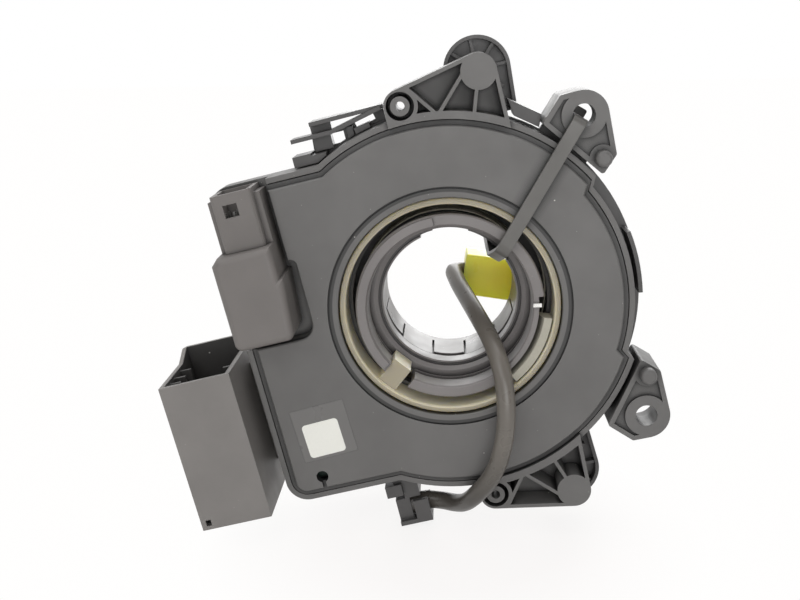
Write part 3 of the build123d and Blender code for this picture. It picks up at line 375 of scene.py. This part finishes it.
def paper(name, colour):
    """Matt label paper with a fibre grain."""
    material, tree, shader = new_material(name)
    place = tree.nodes.new("ShaderNodeTexCoord").outputs["Object"]
    fibre = noise(tree, place, 1500.0, 4.0, 0.7)
    tree.links.new(mixed(tree, fibre, scaled(colour, 0.93), colour), shader.inputs["Base Color"])
    shader.inputs["Roughness"].default_value = 0.6
    bump = tree.nodes.new("ShaderNodeBump")
    bump.inputs["Strength"].default_value = 0.2
    bump.inputs["Distance"].default_value = 0.01 * MM
    tree.links.new(fibre, bump.inputs["Height"])
    tree.links.new(bump.outputs["Normal"], shader.inputs["Normal"])
    return material


def dress(material, *names):
    """Gives CAD nodes a finish in place of the plain packed one."""
    for name in names:
        materials = nodes[name].data.materials
        materials.clear()
        materials.append(material)


def cleared_selection():
    bpy.ops.object.select_all(action="DESELECT")


def settle(piece):
    """Writes a piece's place into its mesh, so that its object sits at the origin."""
    cleared_selection()
    piece.select_set(True)
    bpy.context.view_layer.objects.active = piece
    bpy.ops.object.transform_apply(location=True, rotation=True, scale=True)


class CLOCKSPRING_OT_finish_housing(bpy.types.Operator):
    """Finish the sensor's case and cover, the frame and the cassette"""

    bl_idname = "clock_spring.finish_housing"
    bl_label = "Finish Housing"

    def execute(self, context):
        colours = context.scene.clock_spring_colours
        # The cover takes painted shade on its walls, sunk flange, groove and gaps
        dress(moulded("cover_moulding", colours.case, 0.46, dust=0.045, edge=0.6, crevice_shade=0.9, crevice_shade_reach=3.0,
                      crevice_shade_start=0.98, groove=COVER_GROOVE, walls=0.97, sunk=COVER_SUNK),
              "sensor_cover")
        dress(moulded("case_moulding", colours.case, 0.46, dust=0.05, edge=0.8, crevice_shade=0.95,
                      crevice_shade_start=0.97),
              "sensor_case")
        dress(moulded("ear_moulding", colours.case, 0.44, dust=0.03, edge=0.5, crevice_shade=0.97,
                      crevice_shade_reach=3.0, crevice_shade_start=0.99),
              "upper_ear", "lower_ear")
        dress(moulded("frame_moulding", colours.frame, 0.38, dust=0.03, edge=0.6), "mounting_frame")
        dress(moulded("cassette_moulding", colours.frame, 0.45), "ribbon_cassette")
        return {"FINISHED"}


class CLOCKSPRING_OT_finish_rotor(bpy.types.Operator):
    """Finish the hub, the sleeve, the wheel side and their small pieces"""

    bl_idname = "clock_spring.finish_rotor"
    bl_label = "Finish Rotor"

    def execute(self, context):
        colours = context.scene.clock_spring_colours
        # The pale natural colour stands in for lit walls, and flats paints shade on the faces along the
        # cover's face
        natural = moulded("natural_moulding", colours.natural, 0.36, grain_depth=0.01, edge=0.25, crevice_shade=0.0,
                          glow=0.6, glow_depth=4.0, flats=0.82)
        dress(natural, "drive_hub", "sensor_gear_a", "sensor_gear_b")
        dress(moulded("rotor_moulding", colours.rotor, 0.32, grain_depth=0.008, dust=0.05, edge=0.7,
                      crevice_shade=0.9, crevice_shade_reach=2.6),
              "rotor_sleeve", "rotor_crown", "rotor_face")
        dress(moulded("light_moulding", colours.light, 0.38, grain_depth=0.008), "crescent_plate")
        dress(moulded("socket_moulding", colours.connector, 0.45), "wheel_socket_left", "wheel_socket_right")
        dress(metal("terminal_metal", colours.steel, 0.22), "contact_blade", "wheel_socket_pins")
        dress(metal("magnet_metal", colours.magnet, 0.45), "sensor_magnet_a", "sensor_magnet_b")
        return {"FINISHED"}


class CLOCKSPRING_OT_finish_connectors(bpy.types.Operator):
    """Finish the two connectors with their terminals, and the electronics"""

    bl_idname = "clock_spring.finish_connectors"
    bl_label = "Finish Connectors"

    def execute(self, context):
        colours = context.scene.clock_spring_colours
        shells = moulded("connector_moulding", colours.connector, 0.50, dust=0.03, edge=0.25)
        dress(shells, "upper_connector_shell", "upper_connector_boot")
        dress(moulded("deep_shell_moulding", colours.deep_shell, 0.50, dust=0.055, edge=0.4,
                      crevice_shade=0.6, crevice_shade_reach=4.0, hollow=DEEP_SHELL_HOLLOW),
              "lower_connector_shell")
        # Painted shade: the connectors' pins take a darkened copy of the terminals' tinned colour
        dress(metal("shaded_pin_metal", scaled(colours.steel, 0.25), 0.4), "upper_connector_pins",
              "lower_connector_pins")
        dress(moulded("board_laminate", colours.board, 0.35, mottle=0.2), "circuit_board")
        dress(moulded("chip_moulding", colours.chip, 0.45), "field_sensors", "processor_chip")
        dress(moulded("ribbon_film", colours.ribbon, 0.25, mottle=0.05), "ribbon_cable")
        return {"FINISHED"}


class CLOCKSPRING_OT_add_label(bpy.types.Operator):
    """Add the bare paper label on the cover, with the clear film under it"""

    bl_idname = "clock_spring.add_label"
    bl_label = "Add Label"

    label_x: length_property("Label X", "Label's centre across the cover", -41.95 * MM)
    label_z: length_property("Label Z", "Label's centre along the cover", -27.4 * MM)
    film_x: length_property("Film X", "Film's centre across the cover", -41.5 * MM)
    film_z: length_property("Film Z", "Film's centre along the cover", -25.5 * MM)
    turn: FloatProperty(name="Turn", description="Turn of the label on the cover", unit="ROTATION",
                        subtype="ANGLE", default=radians(-2.0))

    def execute(self, context):
        sizes = context.scene.clock_spring_sizes
        colours = context.scene.clock_spring_colours
        film_thick = sizes.film_thickness
        film = self.add_plate("label_film", (self.film_x, -film_thick / 2, self.film_z),
                              (sizes.film_side, film_thick, sizes.film_side), sizes.film_corner)
        film.data.materials.append(moulded("clear_film", colours.film, 0.30, grain_depth=0.004, edge=0.1,
                                           mottle=0.04, crevice_shade=0.0))
        thick = sizes.label_thickness
        label = self.add_plate("label", (self.label_x, -film_thick - thick / 2, self.label_z),
                               (sizes.label_width, thick, sizes.label_height), sizes.label_corner)
        label.data.materials.append(paper("label_paper", colours.label))
        return {"FINISHED"}

    def add_plate(self, name, centre, size, corner):
        """A thin plate with rounded corners, lying on the cover."""
        cleared_selection()
        bpy.ops.mesh.primitive_cube_add(size=1.0, location=centre)
        plate = bpy.context.object
        plate.name = name
        plate.scale = size
        plate.rotation_euler = (0.0, self.turn, 0.0)
        settle(plate)
        bpy.ops.object.mode_set(mode="EDIT")
        bpy.ops.mesh.select_all(action="DESELECT")
        mesh = bmesh.from_edit_mesh(plate.data)
        for edge in mesh.edges:
            along = (edge.verts[0].co - edge.verts[1].co).normalized()
            edge.select = abs(along.y) > 0.9
        bmesh.update_edit_mesh(plate.data)
        bpy.ops.mesh.bevel(offset=corner, segments=6, affect="EDGES")
        bpy.ops.object.mode_set(mode="OBJECT")
        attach(plate, "stator")
        return plate


class CLOCKSPRING_OT_add_lead(bpy.types.Operator):
    """Add the lead from the hook over the cover and through the bore to its plug"""

    bl_idname = "clock_spring.add_lead"
    bl_label = "Add Lead"

    def execute(self, context):
        sizes = context.scene.clock_spring_sizes
        colours = context.scene.clock_spring_colours
        # The lead's jacket takes painted shade towards the hook and in its creases
        jacket = moulded("lead_jacket", colours.lead, 0.30, grain=900.0, grain_depth=0.02, edge=0.0,
                         mottle=0.08, crevice_shade=0.4, shaded=LEAD_SHADE)
        curve = bpy.data.curves.new("lead", "CURVE")
        curve.dimensions = "3D"
        spline = curve.splines.new("NURBS")
        spline.points.add(len(LEAD_ROUTE) - 1)
        for point, place in zip(spline.points, LEAD_ROUTE):
            point.co = (*place, 1.0)
        spline.order_u = 3
        spline.use_endpoint_u = True
        spline.resolution_u = 12
        curve.bevel_depth = sizes.lead_diameter / 2
        curve.bevel_resolution = 8
        curve.use_fill_caps = True
        lead = bpy.data.objects.new("lead", curve)
        context.collection.objects.link(lead)
        curve.materials.append(jacket)
        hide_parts("lead_cable")
        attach(lead, "stator")
        dress(jacket, "lead_gland")
        yellow = moulded("plug_moulding", colours.plug, 0.32, grain_depth=0.008, edge=0.3, mottle=0.06,
                         crevice_shade=0.0, glow=1.0, glow_depth=12.0)
        dress(yellow, "plug_housing", "plug_latch")
        return {"FINISHED"}


class CLOCKSPRING_OT_finish_tie(bpy.types.Operator):
    """Finish the transit tie"""

    bl_idname = "clock_spring.finish_tie"
    bl_label = "Finish Tie"

    def execute(self, context):
        colours = context.scene.clock_spring_colours
        strap = moulded("tie_moulding", colours.tie, 0.38, grain=1200.0, grain_depth=0.01, edge=0.5)
        dress(strap, "tie_strap", "tie_head")
        return {"FINISHED"}


class CLOCKSPRING_OT_add_studio(bpy.types.Operator):
    """Add the pale floor, the soft lamps and the camera"""

    bl_idname = "clock_spring.add_studio"
    bl_label = "Add Studio"

    floor_lean: FloatProperty(name="Floor lean", description="Turn of the floor about the steering axis",
                              unit="ROTATION", subtype="ANGLE", default=radians(13.2))
    camera_place: FloatVectorProperty(name="Camera place", description="Where the camera stands",
                                      unit="LENGTH", subtype="TRANSLATION", size=3,
                                      default=(0.01518, -0.26645, 0.06768))
    camera_turn: FloatVectorProperty(name="Camera turn", description="Turn of the camera", unit="ROTATION",
                                     subtype="EULER", size=3,
                                     default=(radians(76.515), radians(14.098), radians(2.523)))

    def execute(self, context):
        scene = context.scene
        sizes = scene.clock_spring_sizes
        up = Vector((sin(self.floor_lean), 0.0, cos(self.floor_lean)))
        side = Vector((cos(self.floor_lean), 0.0, -sin(self.floor_lean)))
        self.add_floor(context, up, sizes.floor_drop)
        self.light_world(scene)
        self.add_lamp("key", up * 0.45 - side * 0.25 + Vector((0.0, -0.50, 0.0)), sizes.lamp_size, 1.4)
        self.add_lamp("front", up * 0.05 + side * 0.15 + Vector((0.0, -0.80, 0.0)), sizes.lamp_size, 2.6)
        self.add_lamp("top", up * 0.70 + Vector((0.0, 0.10, 0.0)), sizes.lamp_size, 2.4)
        self.add_lamp("back", up * 0.25 + side * 0.10 + Vector((0.0, 0.75, 0.0)), sizes.lamp_size, 2.4)
        camera_data = bpy.data.cameras.new("camera")
        camera_data.lens = sizes.lens
        camera_data.sensor_width = 36.0
        camera_data.clip_start = 0.01
        camera = bpy.data.objects.new("camera", camera_data)
        camera.location = self.camera_place
        camera.rotation_euler = self.camera_turn
        scene.collection.objects.link(camera)
        scene.camera = camera
        scene.view_settings.view_transform = "Standard"
        return {"FINISHED"}

    def add_floor(self, context, up, drop):
        cleared_selection()
        bpy.ops.mesh.primitive_plane_add(size=6.0, location=-up * drop, rotation=(0.0, self.floor_lean, 0.0))
        floor = context.object
        floor.name = "floor"
        settle(floor)
        floor.data.materials.append(self.floor_material(-up * drop))

    def floor_material(self, foot):
        """White paper: seen as white far off, with a soft shadow close to the object."""
        material, tree, shader = new_material("floor_paper")
        shader.inputs["Roughness"].default_value = 0.55
        glow = tree.nodes.new("ShaderNodeEmission")
        glow.inputs["Color"].default_value = (1.0, 0.995, 0.99, 1.0)
        glow.inputs["Strength"].default_value = 1.0
        rays = tree.nodes.new("ShaderNodeLightPath")
        seen = tree.nodes.new("ShaderNodeMath")
        seen.operation = "MAXIMUM"
        tree.links.new(rays.outputs["Is Camera Ray"], seen.inputs[0])
        tree.links.new(rays.outputs["Is Glossy Ray"], seen.inputs[1])
        bounced = mixed(tree, rays.outputs["Is Diffuse Ray"], (0.92, 0.80, 0.76), (0.66, 0.65, 0.64))
        tree.links.new(bounced, shader.inputs["Base Color"])
        place = tree.nodes.new("ShaderNodeTexCoord").outputs["Object"]
        reach = tree.nodes.new("ShaderNodeVectorMath")
        reach.operation = "DISTANCE"
        reach.inputs[1].default_value = foot
        tree.links.new(place, reach.inputs[0])
        share = tree.nodes.new("ShaderNodeMath")
        share.operation = "MULTIPLY"
        tree.links.new(seen.outputs["Value"], share.inputs[0])
        tree.links.new(remap(tree, reach.outputs["Value"], 0.03, 0.07, 0.86, 1.0), share.inputs[1])
        blend = tree.nodes.new("ShaderNodeMixShader")
        tree.links.new(share.outputs["Value"], blend.inputs["Fac"])
        tree.links.new(shader.outputs["BSDF"], blend.inputs[1])
        tree.links.new(glow.outputs["Emission"], blend.inputs[2])
        output = next(node for node in tree.nodes if node.type == "OUTPUT_MATERIAL")
        tree.links.new(blend.outputs["Shader"], output.inputs["Surface"])
        return material

    def light_world(self, scene):
        world = bpy.data.worlds.new("studio")
        world.use_nodes = True
        tree = world.node_tree
        background = tree.nodes["Background"]
        background.inputs["Color"].default_value = (1.0, 1.0, 1.0, 1.0)
        rays = tree.nodes.new("ShaderNodeLightPath")
        toward = tree.nodes.new("ShaderNodeSeparateXYZ")
        tree.links.new(tree.nodes.new("ShaderNodeTexCoord").outputs["Generated"], toward.inputs["Vector"])
        room = remap(tree, toward.outputs["Y"], -0.5, 0.0, 0.30, 1.0)
        gloss = times(tree, rays.outputs["Is Glossy Ray"], remap(tree, room, 0.0, 1.0, 1.0, 0.0))
        spread = times(tree, rays.outputs["Is Diffuse Ray"], 0.70)
        held_back = tree.nodes.new("ShaderNodeMath")
        held_back.operation = "ADD"
        tree.links.new(gloss, held_back.inputs[0])
        tree.links.new(spread, held_back.inputs[1])
        strength = remap(tree, held_back.outputs["Value"], 0.0, 1.0, 1.0, 0.0)
        tree.links.new(strength, background.inputs["Strength"])
        scene.world = world

    def add_lamp(self, name, place, size, power):
        lamp_data = bpy.data.lights.new(name, "AREA")
        lamp_data.shape = "DISK"
        lamp_data.size = size
        lamp_data.energy = power
        lamp = bpy.data.objects.new(name, lamp_data)
        lamp.location = place
        lamp.rotation_euler = (-place).to_track_quat("-Z", "Y").to_euler()
        bpy.context.scene.collection.objects.link(lamp)


OPERATORS = (
    CLOCKSPRING_OT_finish_housing,
    CLOCKSPRING_OT_finish_rotor,
    CLOCKSPRING_OT_finish_connectors,
    CLOCKSPRING_OT_add_label,
    CLOCKSPRING_OT_add_lead,
    CLOCKSPRING_OT_finish_tie,
    CLOCKSPRING_OT_add_studio,
)


class CLOCKSPRING_PT_panel(bpy.types.Panel):
    """Sizes, colours and steps of the clock spring"""

    bl_label = "Clock Spring"
    bl_idname = "CLOCKSPRING_PT_panel"
    bl_space_type = "VIEW_3D"
    bl_region_type = "UI"
    bl_category = "Clock Spring"

    def draw(self, context):
        layout = self.layout
        for group in (context.scene.clock_spring_sizes, context.scene.clock_spring_colours):
            for name in group.__annotations__:
                layout.prop(group, name)
        for operator in OPERATORS:
            layout.operator(operator.bl_idname)


CLASSES = (ClockSpringColours, ClockSpringSizes, *OPERATORS, CLOCKSPRING_PT_panel)


def register():
    for item in CLASSES:
        bpy.utils.register_class(item)
    bpy.types.Scene.clock_spring_colours = bpy.props.PointerProperty(type=ClockSpringColours)
    bpy.types.Scene.clock_spring_sizes = bpy.props.PointerProperty(type=ClockSpringSizes)


def unregister():
    del bpy.types.Scene.clock_spring_sizes
    del bpy.types.Scene.clock_spring_colours
    for item in reversed(CLASSES):
        bpy.utils.unregister_class(item)


def main():
    register()
    bpy.ops.clock_spring.finish_housing()
    bpy.ops.clock_spring.finish_rotor()
    bpy.ops.clock_spring.finish_connectors()
    bpy.ops.clock_spring.add_label()
    bpy.ops.clock_spring.add_lead()
    bpy.ops.clock_spring.finish_tie()
    bpy.ops.clock_spring.add_studio()


if __name__ == "__main__":
    main()
